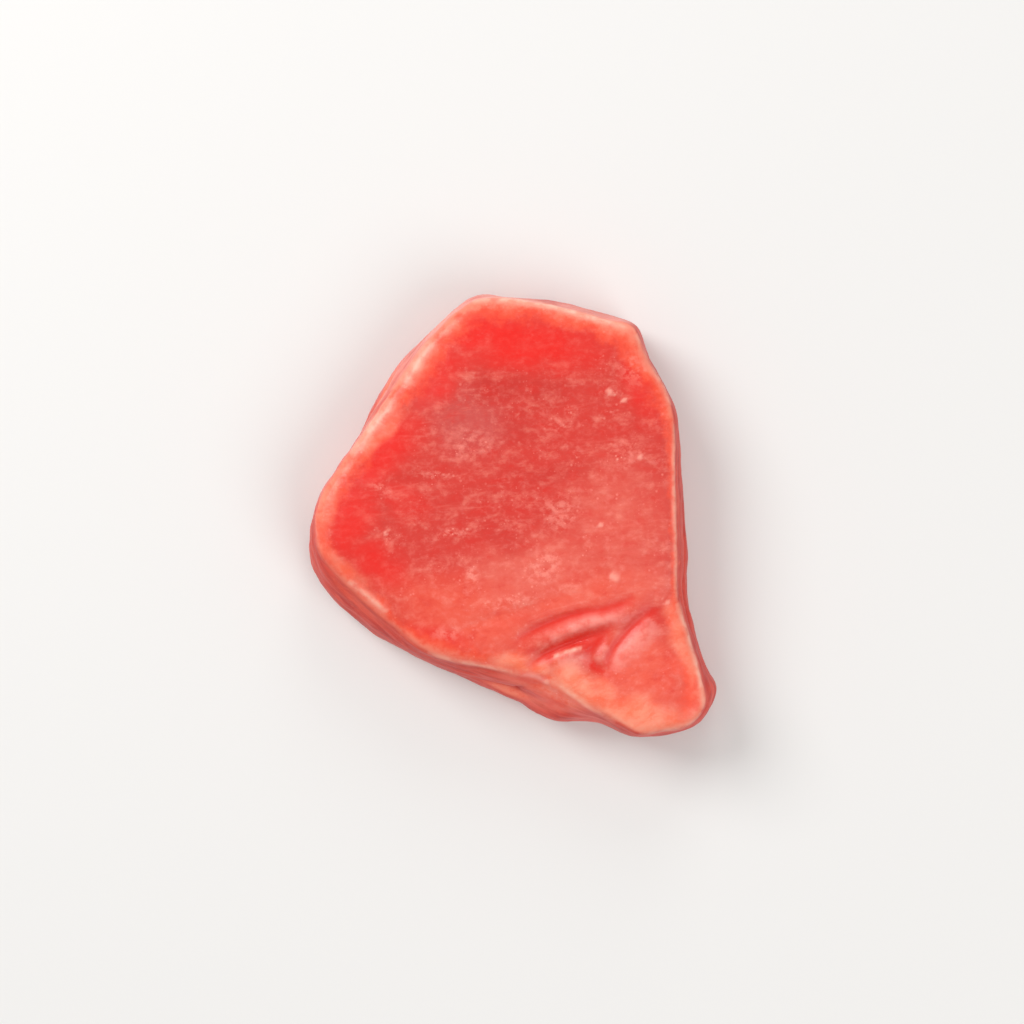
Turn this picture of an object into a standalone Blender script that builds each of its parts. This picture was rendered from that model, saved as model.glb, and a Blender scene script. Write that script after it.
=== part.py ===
"""Raw tuna steak: one slice of loin that lies flat on its cut face.

Metres, +Z up. The origin is the middle of the steak's box, at the face it rests on.
+Y runs along the longer side of the slice and +X across it; the folded lobe is at +X, -Y.
"""

from collections import namedtuple

import bmesh
import bpy
import numpy as np
from mathutils import Vector, noise

MM = 0.001

# Driving dimensions, in millimetres.
WIDTH = 90.0
LENGTH = 97.5
THICKNESS = 20.0

# The section of the side, from the table up to the top face.
FOOT_TUCK = 2.6
BELLY_HEIGHT = 4.5
FLANK_FULLNESS = 0.35
FOOT_STEPS = 5
FLANK_STEPS = 9
RIM_STEPS = 6

# The top face sinks a little towards its rim, and is never quite even.
SHOULDER_DROP = 1.1
SHOULDER_RUN = 16.0
UNEVENNESS = 0.45
UNEVENNESS_SIZE = 19.0

STEPS_BETWEEN_CORNERS = 9
VOXEL = 0.7
SMOOTHING_ROUNDS = 4
TRIANGLES = 9400
FLAT_WITHIN = 0.25

# A corner of the rim, seen from above: where it is, how far the belly of the side
# stands out past it, and how wide the rounding between side and top is there.
Corner = namedtuple("Corner", "x y skirt rounding")
RIM = (
    Corner(-9.3, 45.4, 1.5, 3.2),    # far left corner
    Corner(-5.0, 46.4, 1.7, 2.8),
    Corner(-1.4, 46.4, 0.7, 2.6),
    Corner(5.6, 45.3, 1.9, 2.6),
    Corner(12.0, 43.9, 2.2, 2.8),
    Corner(19.6, 41.8, 2.2, 3.0),
    Corner(25.8, 40.2, 1.4, 3.2),    # far right corner
    Corner(28.6, 33.8, 1.0, 3.0),
    Corner(32.6, 26.4, 1.0, 3.0),
    Corner(34.4, 21.0, 1.4, 2.5),    # right shoulder
    Corner(34.6, 8.0, 2.2, 2.0),
    Corner(34.8, -8.0, 3.2, 2.0),
    Corner(35.2, -18.0, 2.8, 2.5),   # waist above the lobe
    Corner(38.0, -28.0, 2.2, 3.0),
    Corner(40.0, -34.6, 2.5, 2.5),
    Corner(40.7, -38.0, 3.8, 2.5),   # hook at the foot of the lobe
    Corner(40.8, -41.0, 2.3, 2.5),
    Corner(37.8, -44.7, 1.9, 3.0),
    Corner(31.0, -46.5, 1.7, 3.5),
    Corner(26.0, -46.5, 1.9, 3.2),   # tip of the lobe
    Corner(19.8, -42.8, 3.0, 3.2),
    Corner(13.6, -38.6, 7.6, 3.0),
    Corner(7.6, -35.2, 8.0, 2.8),
    Corner(2.6, -33.8, 6.7, 3.5),    # mouth of the deep fold
    Corner(-6.0, -32.0, 5.3, 3.5),
    Corner(-18.0, -29.4, 2.7, 3.5),
    Corner(-26.6, -21.8, 5.4, 3.5),
    Corner(-36.6, -12.6, 5.5, 3.5),
    Corner(-41.0, -6.4, 3.1, 3.8),   # left corner
    Corner(-41.2, 2.8, 0.6, 3.6),
    Corner(-36.0, 11.5, 0.3, 3.2),
    Corner(-32.9, 15.6, 0.6, 2.8),   # notch in the far left side
    Corner(-30.2, 19.6, 1.7, 2.8),
    Corner(-23.4, 29.6, 3.0, 2.8),
    Corner(-16.4, 39.2, 1.4, 3.0),
)

# A fold or a ridge in the flesh: the points that its line passes, its half width,
# and how deep it goes. A negative depth is a ridge. It fades out at both ends.
Crease = namedtuple("Crease", "name path half_width depth")
TOP = THICKNESS
CREASES = (
    Crease("deep_fold", ((2.6, -33.4, TOP), (6.0, -30.2, TOP), (11.0, -27.8, TOP),
                         (16.0, -26.0, TOP), (22.5, -23.6, TOP)), 1.4, 1.35),
    Crease("deep_fold_lip", ((7.0, -32.2, TOP), (11.0, -29.9, TOP), (16.0, -28.2, TOP)), 1.3, -0.35),
    Crease("soft_fold", ((0.0, -27.6, TOP), (6.0, -24.2, TOP), (13.0, -21.4, TOP),
                         (20.0, -19.7, TOP), (27.0, -16.8, TOP)), 1.6, 0.8),
    Crease("roll_between", ((5.0, -28.0, TOP), (12.0, -24.6, TOP), (19.0, -22.4, TOP),
                            (26.0, -21.2, TOP)), 1.7, -0.35),
    Crease("lobe_fold", ((31.0, -19.4, TOP), (27.0, -22.3, TOP), (23.5, -25.8, TOP),
                         (21.0, -30.0, TOP), (19.6, -35.5, TOP)), 1.5, 0.95),
    Crease("lobe_shoulder", ((29.5, -24.6, TOP), (26.0, -27.6, TOP), (23.8, -32.0, TOP)), 2.2, -0.3),
    Crease("short_fold", ((20.4, -25.4, TOP), (18.0, -28.2, TOP), (15.6, -29.8, TOP)), 1.0, 0.8),
    Crease("short_fold_foot", ((15.6, -29.6, TOP), (17.8, -32.0, TOP), (20.0, -34.6, TOP)), 1.2, 0.8),
    Crease("left_dimple", ((-36.0, 11.4, TOP - 2), (-30.0, 9.4, TOP), (-25.0, 6.4, TOP),
                           (-17.0, 7.2, TOP), (-11.0, 8.4, TOP)), 2.0, 0.35),
    Crease("long_fold", ((-14.0, -25.4, TOP), (-3.0, -21.8, TOP), (8.0, -18.4, TOP),
                         (17.0, -16.6, TOP)), 1.6, 0.35),
    Crease("side_fold", ((-9.0, -35.4, 12.0), (-1.0, -37.6, 11.0), (5.0, -38.0, 11.5),
                         (12.0, -40.2, 12.0), (19.0, -43.6, 12.0)), 1.4, 1.3),
    Crease("side_roll", ((-7.0, -37.2, 8.0), (2.0, -40.8, 7.5), (12.0, -43.6, 7.5)), 2.4, -0.6),
    Crease("far_left_fold", ((-33.0, 18.5, 11.0), (-28.5, 26.0, 12.5), (-23.5, 32.5, 11.5)), 1.2, 0.9),
    Crease("right_fold", ((37.2, 4.0, 10.0), (37.6, -9.0, 11.5), (37.4, -19.0, 13.0),
                          (40.6, -27.0, 12.5)), 1.2, 0.8),
)

FLESH_COLOUR = (0.80, 0.14, 0.10, 1.0)
FLESH_ROUGHNESS = 0.32


def clear_scene():
    for obj in list(bpy.data.objects):
        bpy.data.objects.remove(obj)


def smoothstep(values, low, high):
    t = np.clip((values - low) / (high - low), 0.0, 1.0)
    return t * t * (3.0 - 2.0 * t)


def catmull_rom(points, steps, closed):
    """A smooth curve through the points, with a number of steps between each two."""
    points = np.array(points, float)
    if closed:
        padded = np.vstack([points[-1:], points, points[:2]])
    else:
        padded = np.vstack([2 * points[0] - points[1], points, 2 * points[-1] - points[-2]])
    curve = []
    for before, start, end, after in zip(padded, padded[1:], padded[2:], padded[3:]):
        for t in np.arange(steps) / steps:
            curve.append(
                0.5 * (2 * start + (end - before) * t
                       + (2 * before - 5 * start + 4 * end - after) * t**2
                       + (3 * start - 3 * end + after - before) * t**3)
            )
    if not closed:
        curve.append(points[-1])
    return np.array(curve)


def quadratic(start, pull, end, steps):
    """Points of the arc from start to end that pull draws towards itself, less the last."""
    t = (np.arange(steps) / steps)[:, None]
    start, pull, end = (np.array(p, float) for p in (start, pull, end))
    return (1 - t) ** 2 * start + 2 * t * (1 - t) * pull + t**2 * end


def side_section(skirt, rounding):
    """The side from foot to top face, as (distance out from the rim, height)."""
    rise = THICKNESS - BELLY_HEIGHT
    foot, belly = (skirt - FOOT_TUCK, 0.0), (skirt, BELLY_HEIGHT)
    rim_start = (skirt * rounding / rise, THICKNESS - rounding)
    bulge = (skirt, BELLY_HEIGHT + FLANK_FULLNESS * rise)
    return np.vstack([
        quadratic(foot, (skirt, 0.0), belly, FOOT_STEPS),
        quadratic(belly, bulge, rim_start, FLANK_STEPS),
        quadratic(rim_start, (0.0, THICKNESS), (-rounding, THICKNESS), RIM_STEPS),
        [(-rounding, THICKNESS)],
    ])


def rim_curve():
    """Points round the rim, anticlockwise seen from above, with skirt and rounding at each."""
    curve = catmull_rom([corner[:4] for corner in RIM], STEPS_BETWEEN_CORNERS, closed=True)
    return curve[::-1]


def outward_directions(outline):
    along = np.roll(outline, -3, axis=0) - np.roll(outline, 3, axis=0)
    out = np.stack([along[:, 1], -along[:, 0]], axis=1)
    return out / np.linalg.norm(out, axis=1, keepdims=True)


def lofted_block(rim):
    """The steak with a plain side and flat faces, as a mesh of bridged rings."""
    out = outward_directions(rim[:, :2])
    sections = np.array([side_section(skirt, rounding) for skirt, rounding in rim[:, 2:]])
    bm = bmesh.new()
    rings = []
    for level in range(sections.shape[1]):
        places = rim[:, :2] + out * sections[:, level, :1]
        heights = sections[:, level, 1]
        rings.append([bm.verts.new((x, y, z)) for (x, y), z in zip(places, heights)])
    for lower, upper in zip(rings, rings[1:]):
        for i in range(len(lower)):
            j = (i + 1) % len(lower)
            bm.faces.new((lower[i], lower[j], upper[j], upper[i]))
    bm.faces.new(reversed(rings[0]))
    bm.faces.new(rings[-1])
    mesh = bpy.data.meshes.new("block")
    bm.to_mesh(mesh)
    bm.free()
    return mesh


def new_object(name, mesh):
    obj = bpy.data.objects.new(name, mesh)
    bpy.context.scene.collection.objects.link(obj)
    return obj


def applied(obj):
    """The object's mesh with its modifiers applied; the object itself goes."""
    bpy.context.view_layer.update()
    graph = bpy.context.evaluated_depsgraph_get()
    mesh = bpy.data.meshes.new_from_object(obj.evaluated_get(graph))
    bpy.data.objects.remove(obj)
    return mesh


def remeshed(mesh):
    """The same solid in even quads, with its rows of points smoothed together."""
    obj = new_object("even", mesh)
    remesh = obj.modifiers.new("even_quads", "REMESH")
    remesh.mode = "VOXEL"
    remesh.voxel_size = VOXEL
    smooth = obj.modifiers.new("soft_edges", "SMOOTH")
    smooth.iterations = SMOOTHING_ROUNDS
    return applied(obj)


def thinned(mesh):
    """The same surface in fewer triangles, most of them where it bends."""
    obj = new_object("thin", mesh)
    fewer = obj.modifiers.new("fewer_triangles", "DECIMATE")
    fewer.ratio = TRIANGLES / (2 * len(mesh.polygons))
    return applied(obj)


def vertex_positions(mesh):
    values = np.empty(len(mesh.vertices) * 3, np.float32)
    mesh.vertices.foreach_get("co", values)
    return values.reshape(-1, 3).astype(float)


def vertex_normals(mesh):
    values = np.empty(len(mesh.vertices) * 3, np.float32)
    mesh.vertex_normals.foreach_get("vector", values)
    return values.reshape(-1, 3).astype(float)


def move_vertices(mesh, positions):
    mesh.vertices.foreach_set("co", positions.astype(np.float32).ravel())
    mesh.update()


def distance_to_path(points, path):
    """How far each point is from a run of straight pieces, and how far along it, from 0 to 1."""
    nearest = np.full(len(points), np.inf)
    share = np.zeros(len(points))
    lengths = np.linalg.norm(np.diff(path, axis=0), axis=1)
    starts = np.concatenate([[0.0], np.cumsum(lengths)])
    for start, end, begun, length in zip(path, path[1:], starts, lengths):
        t = np.clip((points - start) @ (end - start) / length**2, 0.0, 1.0)
        away = np.linalg.norm(points - (start + t[:, None] * (end - start)), axis=1)
        closer = away < nearest
        nearest[closer] = away[closer]
        share[closer] = ((begun + t * length) / starts[-1])[closer]
    return nearest, share


def rounded_shoulders(points, rim):
    """How far the top face sinks at each point, more towards the rim."""
    path = np.vstack([rim[:, :2], rim[:1, :2]])
    away, _ = distance_to_path(points[:, :2], path)
    drop = SHOULDER_DROP * (1.0 - np.clip(away / SHOULDER_RUN, 0.0, 1.0)) ** 2
    uneven = np.array([noise.noise(Vector(p) / UNEVENNESS_SIZE) for p in points])
    return (drop + UNEVENNESS * uneven) * smoothstep(points[:, 2], 0.5 * THICKNESS, THICKNESS)


def crease_depth(points, crease):
    """How far the crease draws each point in, along the point's normal."""
    path = catmull_rom(crease.path, STEPS_BETWEEN_CORNERS, closed=False)
    away, share = distance_to_path(points, path)
    fade = np.sin(np.pi * np.clip(share, 0.0, 1.0)) ** 0.7
    return crease.depth * fade * np.exp(-((away / crease.half_width) ** 2))


def sculpt(mesh, rim):
    """Sinks the shoulders, then presses the folds into the flesh and raises the ridges."""
    points = vertex_positions(mesh)
    points[:, 2] -= rounded_shoulders(points, rim)
    move_vertices(mesh, points)
    inward = sum(crease_depth(points, crease) for crease in CREASES)
    move_vertices(mesh, points - vertex_normals(mesh) * inward[:, None])


def settle(mesh):
    """Flattens the face it rests on, and fits the steak to its box on the origin, in metres."""
    points = vertex_positions(mesh)
    points[points[:, 2] < FLAT_WITHIN, 2] = 0.0
    low, high = points.min(axis=0), points.max(axis=0)
    foot = np.array([*(low + high)[:2] / 2, 0.0])
    scale = np.array([WIDTH, LENGTH, THICKNESS]) / (high - low)
    move_vertices(mesh, (points - foot) * scale * MM)


def flesh_material():
    material = bpy.data.materials.new("tuna_flesh")
    material.use_nodes = True
    shader = material.node_tree.nodes["Principled BSDF"]
    shader.inputs["Base Color"].default_value = FLESH_COLOUR
    shader.inputs["Roughness"].default_value = FLESH_ROUGHNESS
    shader.inputs["Metallic"].default_value = 0.0
    return material


def build_steak():
    rim = rim_curve()
    mesh = remeshed(lofted_block(rim))
    sculpt(mesh, rim)
    mesh = thinned(mesh)
    settle(mesh)
    mesh.shade_smooth()
    mesh.materials.clear()
    mesh.materials.append(flesh_material())
    new_object("steak", mesh)


clear_scene()
build_steak()
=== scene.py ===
"""Looks of the raw tuna steak: wet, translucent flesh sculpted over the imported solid."""

import math

import bmesh
import bpy
import numpy as np
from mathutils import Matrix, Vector, kdtree, noise


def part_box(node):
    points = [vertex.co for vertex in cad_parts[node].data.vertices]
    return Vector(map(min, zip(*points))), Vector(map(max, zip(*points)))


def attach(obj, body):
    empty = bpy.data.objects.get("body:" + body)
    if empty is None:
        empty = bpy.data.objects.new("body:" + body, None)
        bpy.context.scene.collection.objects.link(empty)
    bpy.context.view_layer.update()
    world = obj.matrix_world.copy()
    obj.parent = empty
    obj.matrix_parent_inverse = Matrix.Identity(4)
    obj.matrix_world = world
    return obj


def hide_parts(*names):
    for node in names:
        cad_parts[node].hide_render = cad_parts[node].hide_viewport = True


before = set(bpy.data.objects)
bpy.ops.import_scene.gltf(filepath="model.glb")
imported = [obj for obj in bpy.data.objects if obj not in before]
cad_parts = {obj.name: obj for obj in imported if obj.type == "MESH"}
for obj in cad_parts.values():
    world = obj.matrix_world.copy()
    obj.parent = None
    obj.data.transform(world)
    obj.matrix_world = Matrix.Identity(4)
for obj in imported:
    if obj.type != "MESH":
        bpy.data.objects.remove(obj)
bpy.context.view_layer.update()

STEAK_LOW, STEAK_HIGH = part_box("steak")
MM = 0.001
TOP = STEAK_HIGH.z / MM

# The view from straight above, in metres; the sensor is in millimetres.
CAMERA_HEIGHT = 0.450
FLOOR_SEEN = 0.2291
SENSOR = 36.0
CAMERA_OFFSET = (-0.0002, 0.0009)

# The studio, in metres and watts; a lamp is its place, its diameter and its power.
FLOOR_HALF = 6.0
FLOOR_COLOUR = (0.80, 0.79, 0.775, 1.0)
FLOOR_ROUGHNESS = 0.7
LAMPS = {
    "key": ((-0.70, 0.55, 0.75), 0.65, 8.2),
    "fill": ((0.60, -0.50, 0.85), 0.80, 4.6),
    "back": ((0.15, 0.85, 0.45), 0.45, 1.6),
}
SKY_COLOUR = (1.0, 0.99, 0.98, 1.0)
SKY_STRENGTH = 0.48

# From here on, lengths are in millimetres and the sole lies at z = 0.
VOXEL = 0.46
SMOOTHING_ROUNDS = 3
CURVE_STEPS = 8

# Where the cut sides give way to the top: how far a face looks up, from 0 sideways to 1 upwards.
TOP_RELIEF_EDGE = (0.45, 0.85)
TOP_COLOUR_EDGE = (0.5, 0.82)
RIM_FACES_UP = 0.6

# Between which shares of the height the crests' painted highlights and the pale edges with their
# painted highlights fade in, and the height at which the sides have their full relief, above the flat
# sole.
NEAR_TOP = (0.74, 0.9)
SOLE_KEEPS_FLAT = 1.6

# Folds of the top face, whose grooves are painted deeper red as painted shade: path seen from above,
# half width and extra depth.
FOLDS = {
    "deep": (((2.9, -32.6), (5.4, -30.8), (8.7, -28.9), (12.0, -27.5), (15.3, -26.3), (18.6, -25.0),
              (21.4, -23.6)), 0.9, 0.35),
    "soft": (((1.0, -26.4), (5.4, -23.9), (10.4, -22.0), (15.6, -20.6), (19.6, -20.0), (22.4, -19.2),
              (26.0, -17.0)), 0.85, 0.28),
    "lobe": (((31.0, -19.7), (28.1, -21.6), (25.8, -23.6), (23.5, -26.2), (21.5, -28.5), (20.4, -31.0),
              (20.1, -32.8)), 0.85, 0.15),
    "branch": (((20.2, -24.9), (18.4, -26.6), (16.7, -28.3), (15.1, -29.9)), 0.7, 0.2),
    "branch_foot": (((15.0, -29.8), (16.9, -31.8), (18.6, -33.0), (19.6, -33.4)), 0.7, 0.2),
}

# Crests where the flesh rolls up beside a fold, with a painted highlight on them: path, half width and
# height.
CRESTS = {
    "under_lip": (((9.6, -31.2), (12.0, -30.6), (14.6, -31.2), (16.2, -32.6)), 1.1, 0.0),
    "between": (((8.0, -26.6), (10.4, -25.1), (13.7, -23.4), (17.2, -22.4), (20.6, -21.8),
                 (25.0, -21.0)), 1.0, 0.12),
    "beside_lobe": (((30.6, -22.8), (27.8, -25.6), (25.4, -28.0), (23.1, -30.6), (21.6, -33.4)),
                    1.4, 0.05),
    "beside_branch": (((18.2, -31.6), (18.7, -29.9), (20.2, -27.8)), 0.6, 0.1),
    "fold_mouth": (((-0.6, -33.5), (1.6, -34.0), (4.4, -34.3), (6.6, -35.2), (8.6, -36.4)), 0.5, 0.1),
}

# Thin pale edges where the rim is sharpest, paler cut flesh with a painted highlight along it, and the
# painted highlight on the lip below the deep fold: path, half width and paleness.
PALE_EDGES_AND_HIGHLIGHTS = {
    "far": (((-9.0, 46.2), (-5.0, 46.7), (-1.5, 46.6), (3.8, 46.0), (10.6, 44.6), (16.0, 43.0),
             (20.2, 41.7), (26.4, 39.8)), 0.5, 1.0),
    "shoulder": (((26.6, 39.4), (28.8, 35.4), (30.6, 31.6), (32.6, 27.8), (34.0, 24.0)), 0.6, 0.9),
    "right": (((34.6, 20.0), (34.5, 8.0), (34.7, -4.0), (34.9, -12.0), (35.2, -17.5)), 0.32, 0.6),
    "waist": (((35.4, -18.6), (36.6, -22.6), (38.4, -28.0), (39.9, -34.0), (40.8, -39.0),
               (40.9, -41.6)), 0.45, 0.85),
    "lobe_end": (((40.6, -42.2), (38.0, -44.6), (33.0, -46.2), (27.0, -47.0)), 0.5, 0.6),
    "lobe_side": (((22.0, -44.4), (18.3, -42.3), (15.6, -40.6), (13.0, -38.6), (10.4, -36.7),
                   (8.0, -35.0)), 0.4, 0.6),
    "near": (((0.0, -33.4), (-5.0, -32.4), (-12.0, -31.2), (-18.4, -29.4)), 0.4, 0.7),
    "near_left": (((-26.8, -20.6), (-31.0, -17.2), (-35.4, -13.8)), 0.5, 0.8),
    "far_left": (((-35.4, 13.4), (-32.0, 16.8), (-30.2, 19.2), (-27.4, 22.2), (-25.6, 25.0)), 1.1, 0.7),
    "below_deep": (((8.6, -30.1), (10.6, -29.3), (12.4, -28.8), (14.8, -28.1)), 0.35, 1.0),
    "far_left_end": (((-23.4, 27.8), (-21.2, 31.6), (-19.4, 34.6), (-17.4, 37.4)), 1.1, 0.65),
}
RIM_LIFT = 0.15

# Dark tears in the cut sides, where they show from above: path, half width and depth.
TEARS = {
    "far_left": (((-31.2, 19.6), (-30.0, 21.4), (-28.4, 24.0), (-26.4, 27.2)), 0.35, 0.3),
    "far_left_low": (((-30.8, 22.4), (-29.2, 25.4), (-27.2, 28.6)), 0.3, 0.2),
    "near": (((-6.0, -36.6), (-2.8, -37.6), (-0.2, -37.8), (2.1, -36.9), (5.4, -36.3),
              (8.6, -36.8)), 0.5, 0.35),
    "hook": (((37.2, -20.0), (39.2, -26.0), (41.2, -33.0), (42.0, -38.6)), 0.4, 0.2),
}

# The colour of a fold, crest, edge or tear reaches this many times as wide as its relief.
LINE_SPREAD = 1.35

# Pale grains of fat and tissue: x, y, radius. The last one is a painted highlight, not a grain.
GRAINS_AND_GLINT = ((21.7, -13.0, 1.3), (20.7, 26.7, 0.75), (21.7, 26.0, 0.45), (23.8, 24.8, 0.6),
          (27.1, 12.6, 0.5), (22.5, 11.9, 0.4), (18.8, -1.8, 0.4), (0.9, 21.7, 0.3),
          (33.2, -18.6, 0.6), (32.2, -17.9, 0.35), (-27.1, -3.6, 0.6), (-26.6, -2.9, 0.4),
          (7.3, -35.5, 0.55))
GRAIN_LIFT = 0.15

# How wide the pale band inside the rim is, a painted glow and sheen of light at the thin edge, round
# the steak: x, y, width.
RIM_BAND = ((-20.0, 34.0, 4.6), (-29.0, 20.0, 4.4), (-36.0, 11.0, 4.2), (-41.0, 2.0, 3.6),
            (-40.0, -6.0, 2.8), (-34.0, -15.0, 3.0), (-25.0, -24.0, 2.5), (-12.0, -31.0, 3.5),
            (0.0, -33.0, 4.5), (12.0, -38.0, 5.5), (26.0, -46.0, 6.0), (38.0, -44.0, 4.5),
            (40.0, -35.0, 3.8), (37.0, -24.0, 3.4), (35.0, -10.0, 1.4), (34.6, 12.0, 1.6),
            (33.0, 26.0, 3.5), (26.0, 39.0, 4.5), (8.0, 45.0, 3.8), (-8.0, 46.0, 4.6))

# Soft patches of tone, seen from above: x, y, half length, half width, turn in degrees, strength.
# Those named for a side show on the cut side below them.
PATCHES = {
    # Painted lack of sheen: redder where the top slopes towards the rim and reflects less.
    "red_without_sheen": ((0.0, 37.5, 23.0, 7.5, -6.0, 0.95), (-27.0, 13.5, 12.0, 5.0, 52.0, 0.85),
              (-35.0, -1.0, 11.0, 6.0, 80.0, 0.75), (-29.5, -10.0, 9.0, 5.0, -35.0, 0.75),
              (-17.0, -26.5, 10.0, 4.0, -14.0, 0.7), (27.0, 29.0, 11.0, 4.6, 110.0, 0.65),
              (-15.5, 30.0, 10.0, 5.0, 60.0, 0.65), (34.0, -33.0, 6.0, 3.0, 70.0, 0.15),
              (-23.0, 3.0, 7.0, 4.0, -30.0, 0.4)),
    "salmon": ((22.0, -2.0, 17.0, 14.0, 90.0, 0.7), (5.0, -12.0, 18.0, 9.0, 10.0, 0.95),
               (15.0, -17.0, 18.0, 5.0, 14.0, 0.8), (-6.0, -25.0, 12.0, 5.0, 0.0, 0.6),
               (28.0, -33.0, 12.0, 9.0, -50.0, 0.5), (27.0, -14.0, 9.0, 6.0, 0.0, 0.9)),
    "coral": ((-10.0, -21.0, 22.0, 9.0, -14.0, 0.8), (14.0, -20.0, 18.0, 8.0, 20.0, 0.7),
              (28.0, -33.0, 13.0, 11.0, -50.0, 0.9)),
    # Painted sheen: greyish haze standing in for a broad reflection on the wet top.
    "painted_sheen": ((-9.0, 20.0, 10.0, 9.0, 0.0, 0.8), (-15.0, 24.0, 7.0, 6.0, 0.0, 0.5)),
    "dull": ((-3.0, 27.5, 7.0, 4.5, 0.0, 0.8), (-2.0, -4.5, 7.0, 4.0, -20.0, 0.4),
             (1.0, 19.0, 6.0, 5.0, 0.0, 0.5), (8.0, 9.0, 12.0, 3.0, 6.0, 0.4),
             (6.5, 27.0, 7.0, 4.5, 0.0, 0.6)),
    "dark_side": ((6.8, 47.2, 4.4, 2.0, -6.0, 1.0),),
    # Peach edges: painted glow and sheen of light at the thin edge.
    "peach": ((13.5, -36.6, 9.0, 4.4, -42.0, 0.95), (26.0, -43.4, 14.0, 5.4, -8.0, 1.0),
              (2.0, -31.6, 8.0, 2.6, -10.0, 0.9), (36.4, -28.0, 9.0, 2.4, 110.0, 0.7),
              (34.0, -19.6, 3.0, 2.0, 60.0, 0.5), (-39.5, 3.0, 9.0, 2.2, 80.0, 0.4),
              (-36.6, -10.6, 8.0, 2.0, -40.0, 0.4), (-28.0, 17.6, 8.0, 2.0, 48.0, 0.4),
              (19.5, -38.5, 6.0, 3.4, -40.0, 0.7)),
    "pink_side": ((3.0, -38.6, 12.0, 3.5, -15.0, 0.8), (15.5, -43.0, 7.0, 3.0, -32.0, 0.9)),
    # Pale tissue with painted sheen over it, where the flat wet top reflects.
    "tissue_and_sheen": ((9.5, 0.5, 5.0, 4.0, -50.0, 0.8), (6.0, -11.0, 4.5, 3.6, 0.0, 1.0),
              (-9.0, -13.5, 3.2, 2.0, 70.0, 1.0), (-14.0, -25.5, 3.5, 2.6, 0.0, 0.8),
              (-1.0, -18.3, 6.5, 1.8, 10.0, 0.9), (12.0, -15.2, 6.0, 1.2, 15.0, 0.7),
              (-17.0, 8.5, 4.5, 1.0, 6.0, 0.95), (-13.5, -4.0, 5.5, 1.2, 18.0, 0.85),
              (-28.0, 5.4, 5.0, 0.9, -22.0, 0.7), (24.0, 14.0, 5.0, 4.0, 30.0, 0.6),
              (10.0, 20.0, 4.0, 3.0, 0.0, 0.5), (26.0, 31.0, 3.4, 4.4, 0.0, 0.7),
              (-9.0, 15.0, 6.0, 4.0, 0.0, 0.6), (24.0, -27.5, 4.5, 1.6, 55.0, 0.7),
              (11.0, -39.5, 6.0, 1.6, -35.0, 0.8)),
}

# How far the edges of patches and grains wander, the size of that noise and its two seeds.
PATCH_WANDER = (1.6, 5.0, (21, 22))
GRAIN_WANDER = (0.5, 0.9, (31, 32))

# The cut side that looks in this direction, seen from above, gets painted light: it is painted paler,
# as if lit. How squarely it must look there, between which shares of the height its painted light
# grows, and what it is at the foot. Towards that side, the top's colours also reach a little over the
# edge, which is painted light too.
LIT_SIDE = (-0.35, 0.94)
LIT_SIDE_LEAN = (0.4, 0.95)
LIT_SIDE_HEIGHT = (0.2, 0.85)
LIT_SIDE_FOOT = 0.6
OVER_EDGE = 0.2
OVER_EDGE_LEAN = (-0.3, 0.4)

# The muscle fibres rise to the right by this many degrees, and near the lobe by this many more.
# The extra rise is whole at the first of these two y and gone at the second.
FIBRE_RISE = 5.0
LOBE_EXTRA_RISE = 14.0
LOBE_FIBRES = (-30.0, 4.0)

# Unevenness of the flesh: height, blob sizes along the three axes, seed and octaves.
FIBRE_RELIEF = ((0.05, (9.0, 1.8, 4.0), 1, 2),)
TOP_RELIEF = ((0.05, (1.9, 1.9, 1.9), 2, 2), (0.16, (8.0, 8.0, 8.0), 3, 1))
SIDE_RELIEF = ((0.17, (9.0, 9.0, 2.0), 4, 2), (0.22, (4.0, 4.0, 5.0), 5, 1),
               (0.05, (1.2, 1.2, 0.9), 6, 1))

# Patterns in the colour: blob sizes along the three axes, detail, roughness and distortion. The
# cloud, streak and thread follow the fibres.
PATTERNS = {
    "cloud": ((4.2, 2.9, 4.0), 5.0, 0.64, 0.2),
    "streak": ((13.0, 1.8, 4.0), 4.0, 0.65, 0.8),
    "thread": ((2.6, 0.6, 1.0), 4.0, 0.65, 0.0),
    "drift": ((5.0, 5.0, 5.0), 5.0, 0.65, 0.0),
    "cluster": ((6.0, 5.0, 6.0), 3.0, 0.6, 0.0),
    "cotton": ((1.5, 1.2, 1.3), 3.0, 0.6, 0.0),
    "blotch": ((1.6, 1.4, 1.5), 3.0, 0.6, 0.0),
    "layer": ((11.0, 11.0, 1.9), 6.0, 0.66, 0.5),
    "ragged": ((2.6, 2.6, 2.6), 3.0, 0.55, 0.0),
    "fine": ((0.6, 0.6, 0.6), 4.0, 0.65, 0.0),
}
SPECK_SPACING = 1.4
GRIT_SPACING = 0.75
LARGEST_DOT = 0.3

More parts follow.
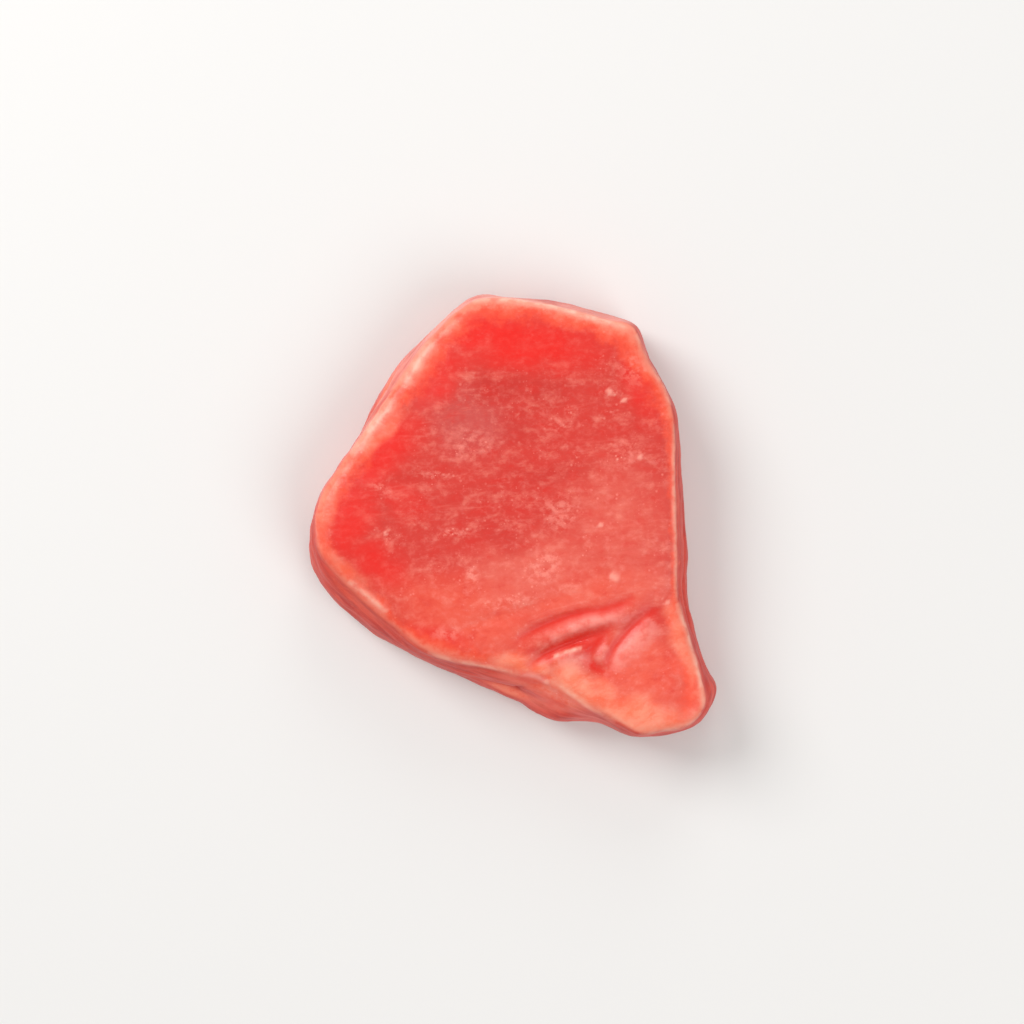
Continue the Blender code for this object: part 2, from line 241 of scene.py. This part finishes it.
# Tones of the flesh, in 8-bit sRGB.
TONES = {
    "inner": (212, 60, 50),
    "salmon": (230, 100, 84),
    "coral": (238, 92, 70),
    # Greyish painted sheen.
    "painted_sheen": (202, 82, 76),
    "dull": (200, 46, 38),
    "cloud": (242, 140, 122),
    "between_clouds": (218, 38, 28),
    "streak": (246, 136, 120),
    # Redder tone painted where the sloping top reflects less sheen.
    "red_without_sheen": (236, 32, 22),
    # The pale rim band and the peach edges: painted glow and sheen of light at the thin edge.
    "rim_outside": (248, 130, 104),
    "rim_inside": (243, 82, 56),
    "peach_deep": (255, 118, 84),
    "peach_pale": (255, 156, 128),
    "cotton": (246, 150, 136),
    # Pale specks of tissue, partly painted glints of the wet film.
    "speck": (250, 160, 144),
    "grit": (250, 156, 140),
    "blotch": (249, 150, 134),
    # Deeper red of the cut sides, partly painted shade.
    "layer_dark": (190, 34, 24),
    "layer_light": (224, 72, 54),
    "side_cloud": (242, 112, 94),
    # Painted light: the cut side that faces one way, painted paler as if lit.
    "painted_lit_side": (240, 158, 146),
    "pink_side": (232, 104, 94),
    "tear": (192, 34, 30),
    # Deeper red painted shade in the fold grooves.
    "fold_shade": (224, 34, 18),
    # Painted highlight on the rolled crests beside the folds.
    "crest_highlight": (248, 158, 146),
    # Paler cut edge with a painted highlight on it.
    "pale_edge_and_highlight": (254, 196, 174),
    # Pale grains, and one painted highlight.
    "grain_and_glint": (251, 166, 148),
}

# The wet film and the light inside the flesh. Roughness goes from red flesh to pale clouds, and
# the coat from the sides to the top.
ROUGHNESS = (0.4, 0.55)
SPECULAR = 0.22
COAT_WEIGHT = (0.12, 0.35)
COAT_ROUGHNESS = 0.26
SUBSURFACE_WEIGHT = 0.18
SUBSURFACE_RADIUS = (1.0, 0.28, 0.18)
SUBSURFACE_SCALE = 2.2
BUMP_STRENGTH = 0.5
BUMP_DEPTH = 0.18
BUMP_THREAD = 0.6
BUMP_COTTON = 0.3
BUMP_FINE = 0.5

# A Mix node has several sockets of one name: these are the ones it uses for colours.
MIX_AMOUNT, MIX_FIRST, MIX_SECOND, MIX_RESULT = 0, 6, 7, 2


def catmull_rom(points):
    """A smooth open curve through the points."""
    points = np.array(points, float)
    padded = np.vstack([2 * points[0] - points[1], points, 2 * points[-1] - points[-2]])
    curve = []
    for before, start, end, after in zip(padded, padded[1:], padded[2:], padded[3:]):
        for t in np.arange(CURVE_STEPS) / CURVE_STEPS:
            curve.append(
                0.5 * (2 * start + (end - before) * t
                       + (2 * before - 5 * start + 4 * end - after) * t**2
                       + (3 * start - 3 * end + after - before) * t**3)
            )
    curve.append(points[-1])
    return np.array(curve)


def smoothstep(values, low, high):
    """0 up to low, 1 from high on, and a soft rise between them."""
    t = np.clip((values - low) / (high - low), 0.0, 1.0)
    return t * t * (3.0 - 2.0 * t)


def fade(values, low, high):
    """1 up to low, 0 from high on, and a soft fall between them."""
    return 1.0 - smoothstep(values, low, high)


def noise_field(points, size, seed, octaves=1):
    """Smooth noise from about -1 to 1; its blobs have the given sizes along X, Y and Z."""
    total = np.zeros(len(points))
    for octave in range(octaves):
        scaled = points * 2.0**octave / np.array(size, float) + 17.3 * seed
        total += np.array([noise.noise(Vector(p)) for p in scaled]) / 2.0**octave
    return total


def unevenness(points, layers):
    """Height of the layers of noise at each point."""
    return sum(height * noise_field(points, size, seed, octaves)
               for height, size, seed, octaves in layers)


def near_path(points, path):
    """Distance of each point from the path, seen from above, and its share of the way along."""
    curve = catmull_rom(path)
    flat = points[:, :2]
    nearest = np.full(len(points), np.inf)
    share = np.zeros(len(points))
    lengths = np.linalg.norm(np.diff(curve, axis=0), axis=1)
    starts = np.concatenate([[0.0], np.cumsum(lengths)])
    for start, end, begun, length in zip(curve, curve[1:], starts, lengths):
        run = end - start
        t = np.clip((flat - start) @ run / length**2, 0.0, 1.0)
        away = np.linalg.norm(flat - (start + t[:, None] * run), axis=1)
        closer = away < nearest
        nearest[closer] = away[closer]
        share[closer] = ((begun + t * length) / starts[-1])[closer]
    return nearest, share


def welded_copy():
    """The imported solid's mesh with its triangles joined."""
    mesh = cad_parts["steak"].data.copy()
    bm = bmesh.new()
    bm.from_mesh(mesh)
    bmesh.ops.remove_doubles(bm, verts=bm.verts, dist=0.001 * MM)
    bm.to_mesh(mesh)
    bm.free()
    return mesh


def fine_mesh():
    """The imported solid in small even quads."""
    obj = bpy.data.objects.new("fine", welded_copy())
    bpy.context.scene.collection.objects.link(obj)
    remesh = obj.modifiers.new("even_quads", "REMESH")
    remesh.mode = "VOXEL"
    remesh.voxel_size = VOXEL * MM
    smooth = obj.modifiers.new("soft", "SMOOTH")
    smooth.iterations = SMOOTHING_ROUNDS
    bpy.context.view_layer.update()
    graph = bpy.context.evaluated_depsgraph_get()
    mesh = bpy.data.meshes.new_from_object(obj.evaluated_get(graph))
    bpy.data.objects.remove(obj)
    return mesh


def positions(mesh):
    """The mesh's points, in millimetres."""
    values = np.empty(len(mesh.vertices) * 3, np.float32)
    mesh.vertices.foreach_get("co", values)
    return values.reshape(-1, 3).astype(float) / MM


def normals(mesh):
    """The direction in which the surface looks at each point."""
    values = np.empty(len(mesh.vertices) * 3, np.float32)
    mesh.vertex_normals.foreach_get("vector", values)
    return values.reshape(-1, 3).astype(float)


def place(mesh, points):
    """Moves the mesh's points to these places, in millimetres."""
    mesh.vertices.foreach_set("co", (points * MM).astype(np.float32).ravel())
    mesh.update()


def inset_from_rim(points, facing):
    """How far each point of the top lies inside the rim; 0 on the sides."""
    upper_half = points[:, 2] > 0.5 * TOP
    faces_up = facing[:, 2] >= RIM_FACES_UP
    every_second_side_point = np.nonzero(~faces_up & upper_half)[0][::2]
    tree = kdtree.KDTree(len(every_second_side_point))
    for index in every_second_side_point:
        x, y, _ = points[index]
        tree.insert((x, y, 0.0), int(index))
    tree.balance()
    inset = np.zeros(len(points))
    for index in np.nonzero(faces_up & upper_half)[0]:
        x, y, _ = points[index]
        inset[index] = tree.find((x, y, 0.0))[2]
    return inset


def band_share(points, inset):
    """Inset as a share of the width of the painted glowing band there, where the nearest widths count
    most.
    """
    weights = 0.0
    widths = 0.0
    for x, y, width in RIM_BAND:
        weight = 1.0 / (np.hypot(points[:, 0] - x, points[:, 1] - y) + 1.0) ** 4
        weights = weights + weight
        widths = widths + weight * width
    return inset * weights / widths


def fibre_coordinates(points):
    """Along and across the muscle fibres, and the height."""
    slope = np.radians(FIBRE_RISE + LOBE_EXTRA_RISE * fade(points[:, 1], *LOBE_FIBRES))
    along = points[:, 0] * np.cos(slope) + points[:, 1] * np.sin(slope)
    across = -points[:, 0] * np.sin(slope) + points[:, 1] * np.cos(slope)
    return np.stack([along, across, points[:, 2]], axis=1)


def wandering(points, wander):
    """Where the points lie from above once soft noise has moved them."""
    reach, size, seeds = wander
    shifts = [reach * noise_field(points, (size, size, size), seed) for seed in seeds]
    return points[:, :2] + np.stack(shifts, axis=1)


def patch_field(places, patches):
    """How strongly each place lies in one of the soft patches."""
    field = np.zeros(len(places))
    for x, y, half_length, half_width, turn, strength in patches:
        cos, sin = math.cos(math.radians(turn)), math.sin(math.radians(turn))
        dx = places[:, 0] - x
        dy = places[:, 1] - y
        along = (dx * cos + dy * sin) / half_length
        across = (dy * cos - dx * sin) / half_width
        field = np.maximum(field, strength * fade(np.hypot(along, across), 0.25, 1.25))
    return field


def grain_and_glint_field(points):
    """How strongly each point lies in one of the uneven grains, one of which is a painted highlight."""
    places = wandering(points, GRAIN_WANDER)
    field = np.zeros(len(points))
    for x, y, radius in GRAINS_AND_GLINT:
        away = np.hypot(places[:, 0] - x, places[:, 1] - y)
        field = np.maximum(field, fade(away, 0.3 * radius, 1.3 * radius))
    return field


def line_mask(points, path, width):
    """1 on the path, falling to 0 beside it and at both of its ends."""
    away, share = near_path(points, path)
    ends = np.sin(np.pi * np.clip(share, 0.0, 1.0)) ** 0.5
    return ends * np.exp(-((away / width) ** 2))


def line_field(points, lines):
    """How strongly each point lies on one of the lines, and the relief that they ask for."""
    field = np.zeros(len(points))
    relief = np.zeros(len(points))
    for path, width, height in lines:
        mask = line_mask(points, path, width)
        field = np.maximum(field, mask ** LINE_SPREAD**-2)
        relief += height * mask
    return field, relief


def pale_edge_and_highlight_field(points):
    """How pale each point is from the rim's thin edges and their painted highlights, and how far they
    lift it.
    """
    pale = np.zeros(len(points))
    lifted = np.zeros(len(points))
    for path, width, paleness in PALE_EDGES_AND_HIGHLIGHTS.values():
        field, relief = line_field(points, [(path, width, RIM_LIFT)])
        pale = np.maximum(pale, paleness * field)
        lifted += relief
    return pale, lifted


def side_fields(points, facing):
    """How far the top's colours reach at each point, and how strongly the cut side is painted paler
    there, as if lit: painted light.
    """
    # Painted light: the side facing one way is painted paler, and the top's colours reach over its
    # edge.
    lean = facing[:, :2] @ np.array(LIT_SIDE)
    over_edge = OVER_EDGE * smoothstep(lean, *OVER_EDGE_LEAN)
    top_colour = smoothstep(facing[:, 2] + over_edge, *TOP_COLOUR_EDGE)
    height = smoothstep(points[:, 2] / TOP, *LIT_SIDE_HEIGHT)
    pale = smoothstep(lean, *LIT_SIDE_LEAN) * (LIT_SIDE_FOOT + (1.0 - LIT_SIDE_FOOT) * height)
    return top_colour, pale


def sculpt(mesh):
    """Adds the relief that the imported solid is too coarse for, and returns the colour's fields.

    The fields come from where the points were before the relief moved them.
    """
    points = positions(mesh)
    facing = normals(mesh)
    on_top = smoothstep(facing[:, 2], *TOP_RELIEF_EDGE)
    on_side = (1.0 - on_top) * smoothstep(points[:, 2], 0.0, SOLE_KEEPS_FLAT)
    near_top = smoothstep(points[:, 2] / TOP, *NEAR_TOP)
    fibres = fibre_coordinates(points)

    groove_shade, sunk = line_field(points, FOLDS.values())
    crest_highlight, rolled = line_field(points, CRESTS.values())
    pale_edge_and_highlight, lifted = pale_edge_and_highlight_field(points)
    tear, torn = line_field(points, TEARS.values())
    grain_and_glint = grain_and_glint_field(points)
    raised = on_top * (rolled - sunk + GRAIN_LIFT * grain_and_glint) + near_top * lifted - on_side * torn
    raised += on_top * (unevenness(fibres, FIBRE_RELIEF) + unevenness(points, TOP_RELIEF))
    raised += on_side * unevenness(points, SIDE_RELIEF)
    place(mesh, points + facing * raised[:, None])

    places = wandering(points, PATCH_WANDER)
    fields = {name: patch_field(places, patches) for name, patches in PATCHES.items()}
    fields["on_top"], fields["painted_lit_side"] = side_fields(points, facing)
    fields["fibres"] = fibres
    fields["groove_shade"] = groove_shade * on_top
    fields["crest_highlight"] = crest_highlight * near_top
    fields["pale_edge_and_highlight"] = pale_edge_and_highlight * near_top
    fields["grain_and_glint"] = grain_and_glint * on_top
    fields["tear"] = tear * (1.0 - on_top)
    fields["band"] = band_share(points, inset_from_rim(points, facing))
    return fields


def store(mesh, name, values):
    """Keeps a number or a vector for each point of the mesh under this name."""
    kind = "FLOAT_VECTOR" if values.ndim == 2 else "FLOAT"
    field = "vector" if values.ndim == 2 else "value"
    attribute = mesh.attributes.new(name, kind, "POINT")
    attribute.data.foreach_set(field, values.astype(np.float32).ravel())


def tone(name):
    """One of the flesh's tones as linear values."""
    channels = np.array(TONES[name]) / 255.0
    linear = np.where(channels <= 0.04045, channels / 12.92, ((channels + 0.055) / 1.055) ** 2.4)
    return (*linear, 1.0)


class Shader:
    """A node material that is built by name."""

    def __init__(self, name):
        self.material = bpy.data.materials.new(name)
        self.material.use_nodes = True
        self.tree = self.material.node_tree
        self.surface = self.tree.nodes["Principled BSDF"]

    def add(self, kind, inputs=None, **settings):
        node = self.tree.nodes.new(kind)
        for name, value in settings.items():
            setattr(node, name, value)
        for name, value in (inputs or {}).items():
            self.set(node, name, value)
        return node

    def set(self, node, name, value):
        """Links the value to the node's input if it is a socket, or else writes it there."""
        if isinstance(value, bpy.types.NodeSocket):
            self.tree.links.new(value, node.inputs[name])
        else:
            node.inputs[name].default_value = value

    def field(self, name):
        return self.add("ShaderNodeAttribute", attribute_name=name).outputs["Fac"]

    def vector(self, name):
        return self.add("ShaderNodeAttribute", attribute_name=name).outputs["Vector"]

    def math(self, operation, first, second, clamp=False):
        node = self.add("ShaderNodeMath", {0: first, 1: second}, operation=operation)
        node.use_clamp = clamp
        return node.outputs[0]

    def plus(self, first, second):
        return self.math("ADD", first, second)

    def times(self, first, second, clamp=False):
        return self.math("MULTIPLY", first, second, clamp)

    def band(self, value, low, high, out_low=0.0, out_high=1.0):
        """The value carried from low..high to out_low..out_high with a soft start and end."""
        node = self.add("ShaderNodeMapRange", interpolation_type="SMOOTHSTEP")
        for name, number in zip(("Value", "From Min", "From Max", "To Min", "To Max"),
                                (value, low, high, out_low, out_high)):
            self.set(node, name, number)
        return node.outputs["Result"]

    def mix(self, amount, first, second):
        """The first colour, with the second one over it by the amount."""
        node = self.add("ShaderNodeMix", data_type="RGBA")
        self.set(node, MIX_AMOUNT, amount)
        self.set(node, MIX_FIRST, first)
        self.set(node, MIX_SECOND, second)
        return node.outputs[MIX_RESULT]

    def stretch(self, vector, sizes):
        """The vector in units of the given sizes, in millimetres, along its three axes."""
        shares = tuple(1.0 / size for size in sizes)
        return self.add("ShaderNodeVectorMath", {0: vector, 1: shares}, operation="MULTIPLY").outputs[0]

    def dots(self, vector, spacing):
        """Round soft dots, one to a cell of the given spacing, of random sizes."""
        scaled = self.stretch(vector, (spacing, spacing, spacing))
        cells = self.add("ShaderNodeTexVoronoi", {"Vector": scaled, "Scale": 1.0})
        lot = self.add("ShaderNodeSeparateColor", {"Color": cells.outputs["Color"]}).outputs["Red"]
        reach = self.band(lot, 0.35, 1.0, 0.05, LARGEST_DOT)
        inside = self.math("SUBTRACT", 1.0, self.math("DIVIDE", cells.outputs["Distance"], reach))
        return self.band(inside, 0.0, 0.7)

    def pattern(self, vector, name):
        """One of the flesh's noise patterns, laid out along the vector's three axes."""
        sizes, detail, roughness, distortion = PATTERNS[name]
        node = self.add("ShaderNodeTexNoise", {"Vector": self.stretch(vector, sizes), "Scale": 1.0,
                                               "Detail": detail, "Roughness": roughness,
                                               "Distortion": distortion})
        return node.outputs["Fac"]


def inner_colour(s, fibres, cloud):
    """The broad tones of the top, among them a greyish painted sheen, with soft clouds and a few long
    pale streaks.
    """
    colour = tone("inner")
    for name in ("salmon", "coral", "painted_sheen", "dull"):
        colour = s.mix(s.field(name), colour, tone(name))
    pale = s.band(cloud, 0.48, 0.78, 0.0, 0.55)
    outside_dull = s.band(s.field("dull"), 0.0, 1.0, 1.0, 0.4)
    colour = s.mix(s.times(pale, outside_dull), colour, tone("cloud"))
    colour = s.mix(s.band(cloud, 0.52, 0.24, 0.0, 0.5), colour, tone("between_clouds"))
    streak = s.band(s.pattern(fibres, "streak"), 0.55, 0.8, 0.0, 0.3)
    return s.mix(streak, colour, tone("streak"))


def rim_over(s, colour, spot, cloud):
    """Redder towards the rim on the far and left sides, painted where the sloping top reflects less
    sheen, then the pale rim itself, a painted glow and sheen of light at the thin edge.
    """
    veil = s.band(cloud, 0.35, 0.7, 1.0, 0.8)
    # Redder where the sloping top reflects less, painted in place of the sheen that it lacks.
    colour = s.mix(s.times(s.field("red_without_sheen"), veil), colour, tone("red_without_sheen"))
    # Painted glow and sheen at the edge: the pale band inside the rim, and the peach edges.
    drift = s.band(s.pattern(spot, "drift"), 0.3, 0.7, -0.35, 0.35)
    share = s.plus(s.field("band"), drift)
    rim = s.mix(s.band(share, -0.1, 0.7), tone("rim_outside"), tone("rim_inside"))
    colour = s.mix(s.band(share, 0.45, 1.4), rim, colour)
    peach = s.mix(s.band(cloud, 0.3, 0.7), tone("peach_deep"), tone("peach_pale"))
    return s.mix(s.field("peach"), colour, peach)


def cotton_over(s, colour, spot):
    """Cottony specks of pale tissue, partly painted glints of the wet film, thickest in the milky
    patches, which are pale tissue partly painted as sheen, and the cotton's own pattern.
    """
    tissue_and_sheen = s.field("tissue_and_sheen")
    cluster = s.band(s.pattern(spot, "cluster"), 0.38, 0.66, 0.25, 0.65)
    outside_red_without_sheen = s.band(s.field("red_without_sheen"), 0.1, 0.8, 1.0, 0.4)
    amount = s.times(s.plus(cluster, s.times(tissue_and_sheen, 0.6)), outside_red_without_sheen)
    cotton = s.times(s.band(s.pattern(spot, "cotton"), 0.44, 0.78), amount, clamp=True)
    colour = s.mix(s.times(cotton, 0.46), colour, tone("cotton"))
    sparse = s.times(amount, amount)
    # Pale specks, partly painted glints of the wet film.
    for name, spacing in (("speck", SPECK_SPACING), ("grit", GRIT_SPACING)):
        specks = s.times(s.dots(spot, spacing), sparse, clamp=True)
        colour = s.mix(s.times(specks, 0.9), colour, tone(name))
    blotch = s.band(s.pattern(spot, "blotch"), 0.42, 0.64)
    colour = s.mix(s.times(s.times(tissue_and_sheen, blotch), 0.6), colour, tone("blotch"))
    return colour, cotton


def side_colour(s, spot, cloud):
    """The cut sides: deeper red than the top, partly painted shade, with layers that follow the rim."""
    layer = s.pattern(spot, "layer")
    colour = s.mix(s.band(layer, 0.3, 0.72), tone("layer_dark"), tone("layer_light"))
    colour = s.mix(s.band(cloud, 0.5, 0.8, 0.0, 0.5), colour, tone("side_cloud"))
    streaked = s.band(layer, 0.32, 0.6, 0.45, 0.95)
    # Painted light on the side that faces one way, streaked by the layers; the pink patches are the
    # flesh's own tone.
    for name in ("painted_lit_side", "pink_side"):
        colour = s.mix(s.times(s.field(name), streaked), colour, tone(name))
    dark = s.math("MAXIMUM", s.field("tear"), s.field("dark_side"))
    return s.mix(s.times(dark, 0.65), colour, tone("tear"))


def lines_over(s, colour, spot):
    """Painted shade in the folds, ragged painted highlights on the crests and on the pale edges, and
    the grains, one of which is a painted highlight.
    """
    # Painted shade: the fold grooves painted deeper red.
    colour = s.mix(s.times(s.field("groove_shade"), 0.9), colour, tone("fold_shade"))
    ragged = s.band(s.pattern(spot, "ragged"), 0.34, 0.62, 0.35, 0.95)
    # Painted highlight on the crests, broken up by the ragged pattern.
    colour = s.mix(s.times(s.field("crest_highlight"), s.times(ragged, 0.72)), colour, tone("crest_highlight"))
    # Pale edges with a painted highlight, and the painted highlight below the deep fold.
    colour = s.mix(s.times(s.field("pale_edge_and_highlight"), s.times(ragged, 0.95)), colour, tone("pale_edge_and_highlight"))
    return s.mix(s.times(s.field("grain_and_glint"), 0.75), colour, tone("grain_and_glint"))


def flesh_material():
    s = Shader("raw_tuna_flesh")
    fibres = s.vector("fibres")
    spot = s.vector("spot")
    cloud = s.pattern(fibres, "cloud")
    top = rim_over(s, inner_colour(s, fibres, cloud), spot, cloud)
    top, cotton = cotton_over(s, top, spot)
    colour = s.mix(s.field("on_top"), side_colour(s, spot, cloud), top)
    colour = lines_over(s, colour, spot)

    thread = s.times(s.pattern(fibres, "thread"), BUMP_THREAD)
    fine = s.times(s.pattern(spot, "fine"), BUMP_FINE)
    relief = s.plus(s.plus(thread, s.times(cotton, BUMP_COTTON)), fine)
    bump = s.add("ShaderNodeBump", {"Height": relief, "Strength": BUMP_STRENGTH,
                                    "Distance": BUMP_DEPTH * MM})

    s.set(s.surface, "Base Color", colour)
    s.set(s.surface, "Roughness", s.band(cloud, 0.25, 0.75, *ROUGHNESS))
    s.set(s.surface, "Specular IOR Level", SPECULAR)
    s.set(s.surface, "Normal", bump.outputs["Normal"])
    s.set(s.surface, "Coat Normal", bump.outputs["Normal"])
    s.set(s.surface, "Coat Weight", s.band(s.field("on_top"), 0.0, 1.0, *COAT_WEIGHT))
    s.set(s.surface, "Coat Roughness", COAT_ROUGHNESS)
    s.set(s.surface, "Subsurface Weight", SUBSURFACE_WEIGHT)
    s.set(s.surface, "Subsurface Radius", SUBSURFACE_RADIUS)
    s.set(s.surface, "Subsurface Scale", SUBSURFACE_SCALE * MM)
    return s.material


def make_flesh():
    mesh = fine_mesh()
    fields = sculpt(mesh)
    fields["spot"] = positions(mesh)
    for name, values in fields.items():
        store(mesh, name, values)
    mesh.shade_smooth()
    mesh.materials.clear()
    mesh.materials.append(flesh_material())
    flesh = bpy.data.objects.new("flesh", mesh)
    bpy.context.scene.collection.objects.link(flesh)
    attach(flesh, "root")
    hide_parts("steak")


def make_floor():
    half = FLOOR_HALF
    mesh = bpy.data.meshes.new("floor")
    corners = [(-half, -half, 0.0), (half, -half, 0.0), (half, half, 0.0), (-half, half, 0.0)]
    mesh.from_pydata(corners, [], [(0, 1, 2, 3)])
    floor = bpy.data.objects.new("floor", mesh)
    bpy.context.scene.collection.objects.link(floor)
    s = Shader("pale_floor")
    s.set(s.surface, "Base Color", FLOOR_COLOUR)
    s.set(s.surface, "Roughness", FLOOR_ROUGHNESS)
    mesh.materials.append(s.material)


def make_lamp(name, location, diameter, watts):
    """A round softbox that looks at the steak."""
    light = bpy.data.lights.new(name, "AREA")
    light.shape = "DISK"
    light.size = diameter
    light.energy = watts
    lamp = bpy.data.objects.new(name, light)
    lamp.location = location
    lamp.rotation_euler = (-Vector(location)).to_track_quat("-Z", "Y").to_euler()
    lamp.visible_camera = False
    bpy.context.scene.collection.objects.link(lamp)


def make_light():
    for name, (location, diameter, watts) in LAMPS.items():
        make_lamp(name, location, diameter, watts)
    world = bpy.data.worlds.new("studio")
    world.use_nodes = True
    background = world.node_tree.nodes["Background"]
    background.inputs["Color"].default_value = SKY_COLOUR
    background.inputs["Strength"].default_value = SKY_STRENGTH
    bpy.context.scene.world = world


def make_camera():
    lens = bpy.data.cameras.new("above")
    lens.sensor_width = SENSOR
    lens.lens = SENSOR * CAMERA_HEIGHT / FLOOR_SEEN
    lens.clip_start = 0.01
    camera = bpy.data.objects.new("above", lens)
    centre = (STEAK_LOW + STEAK_HIGH) / 2
    camera.location = (centre.x + CAMERA_OFFSET[0], centre.y + CAMERA_OFFSET[1], CAMERA_HEIGHT)
    bpy.context.scene.collection.objects.link(camera)
    bpy.context.scene.camera = camera


bpy.context.scene.view_settings.view_transform = "Standard"
make_flesh()
make_floor()
make_light()
make_camera()

bpy.context.view_layer.update()
